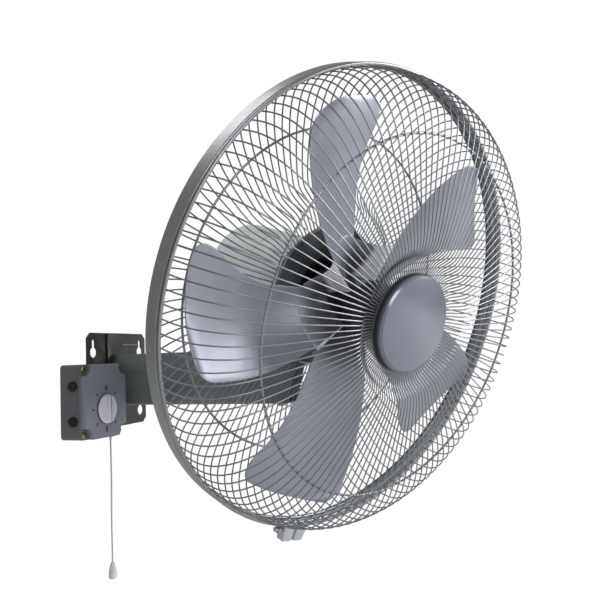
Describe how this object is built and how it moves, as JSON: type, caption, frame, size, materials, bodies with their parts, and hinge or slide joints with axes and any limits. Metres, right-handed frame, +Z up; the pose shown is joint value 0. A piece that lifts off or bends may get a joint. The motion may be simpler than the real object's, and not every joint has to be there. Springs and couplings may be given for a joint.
{
  "type": "wall mounted fan",
  "caption": "Wall fan on a pressed steel arm: tilting and swinging head, sheet-metal impeller in a two-piece wire guard, switch box with rotary knob and pull cord.",
  "frame": {"origin": "middle of the wall plate's back face, on the wall", "axes": "+Y into the wall, +Z up; the fan stands out along -Y and +X is to its left as it faces the room"},
  "size_m": [0.4734, 0.5298, 0.5733],
  "materials": {
    "bracket_steel": "dark grey stove enamel, satin",
    "box_paint": "grey-blue paint, satin",
    "blue_paint": "blue-grey paint, smooth",
    "blade_sheet": "blue-grey paint on pressed aluminium sheet",
    "band_metal": "grey metallic paint, glossy",
    "guard_wire": "grey metallic coating over drawn wire",
    "motor_casting": "pale grey paint, slightly rough",
    "black_plastic": "fine matt",
    "black_metal": "black paint, matt",
    "grey_plastic": "satin",
    "pale_plastic": "satin",
    "bare_steel": "machined",
    "yellow_zinc": "yellow zinc plate",
    "copper_winding": "enamelled copper wire",
    "black_rubber": "matt",
    "white_cord": "braided"
  },
  "bodies": {
    "bracket": {"wall_plate": "bracket_steel", "arm": "bracket_steel", "tilt_bolt": "bare_steel", "tilt_nut": "bare_steel", "earth_screw": "bare_steel", "control_base": "box_paint", "control_cover": "box_paint", "cover_screw_1": "yellow_zinc", "cover_screw_2": "yellow_zinc", "cover_screw_3": "yellow_zinc", "cover_screw_4": "yellow_zinc", "dial_ring": "black_plastic", "speed_switch": "grey_plastic", "gland_upper": "black_rubber", "gland_lower": "black_rubber", "run_capacitor": "grey_plastic", "terminal_block": "pale_plastic", "pull_switch": "grey_plastic", "cord_bush": "black_plastic"},
    "knob": {"speed_knob": "pale_plastic", "knob_spindle": "bare_steel"},
    "pull": {"pull_link": "bare_steel", "pull_cord": "white_cord", "cord_bell": "pale_plastic"},
    "tilt_neck": {"tilt_bracket": "bracket_steel", "swing_post": "bare_steel", "swing_washer": "pale_plastic"},
    "head": {"swivel_housing": "bracket_steel", "motor_housing": "motor_casting", "front_shield": "black_metal", "stator_core": "bare_steel", "winding_front": "copper_winding", "winding_rear": "copper_winding", "front_bearing": "bare_steel", "rear_bearing": "bare_steel", "front_guard": "guard_wire", "rear_guard": "guard_wire", "front_rim_ring": "guard_wire", "rear_rim_ring": "guard_wire", "front_guard_ring": "guard_wire", "rear_guard_ring": "guard_wire", "guard_centre_plate": "black_plastic", "guard_nut": "grey_plastic", "guard_band": "band_metal", "band_screw": "bare_steel", "band_nut": "bare_steel", "hub_cap": "blue_paint", "cap_screw": "bare_steel"},
    "rotor": {"motor_shaft": "bare_steel", "rotor_core": "bare_steel", "blade_1": "blade_sheet", "blade_2": "blade_sheet", "blade_3": "blade_sheet", "blade_4": "blade_sheet", "blade_5": "blade_sheet", "blade_spider": "motor_casting", "spinner_nut": "black_plastic"}
  },
  "joints": [
    {"name": "tilt", "type": "hinge", "parent": "bracket", "child": "tilt_neck", "pos_m": [0, -0.2, 0.02], "axis": [1, 0, 0], "range_deg": [-24.5, 5.5]},
    {"name": "swing", "type": "hinge", "parent": "tilt_neck", "child": "head", "pos_m": [0, -0.2, 0.02], "axis": [0, -0.3338, 0.9426], "range_deg": [-20.4, 69.6]},
    {"name": "rotor_spin", "type": "hinge", "parent": "head", "child": "rotor", "pos_m": [-0.0666, -0.37318, 0.07324], "axis": [-0.4163, -0.8571, -0.3035], "continuous": true},
    {"name": "speed_knob", "type": "hinge", "parent": "bracket", "child": "knob", "pos_m": [-0.07525, -0.0389, -0.0333], "axis": [0, 1, 0], "range_deg": [0, 270]},
    {"name": "cord_pull", "type": "slide", "parent": "bracket", "child": "pull", "axis": [0, 0, -1], "range_m": [0, 0.01], "stiffness_N_per_m": 400, "springref_m": -0.004}
  ]
}
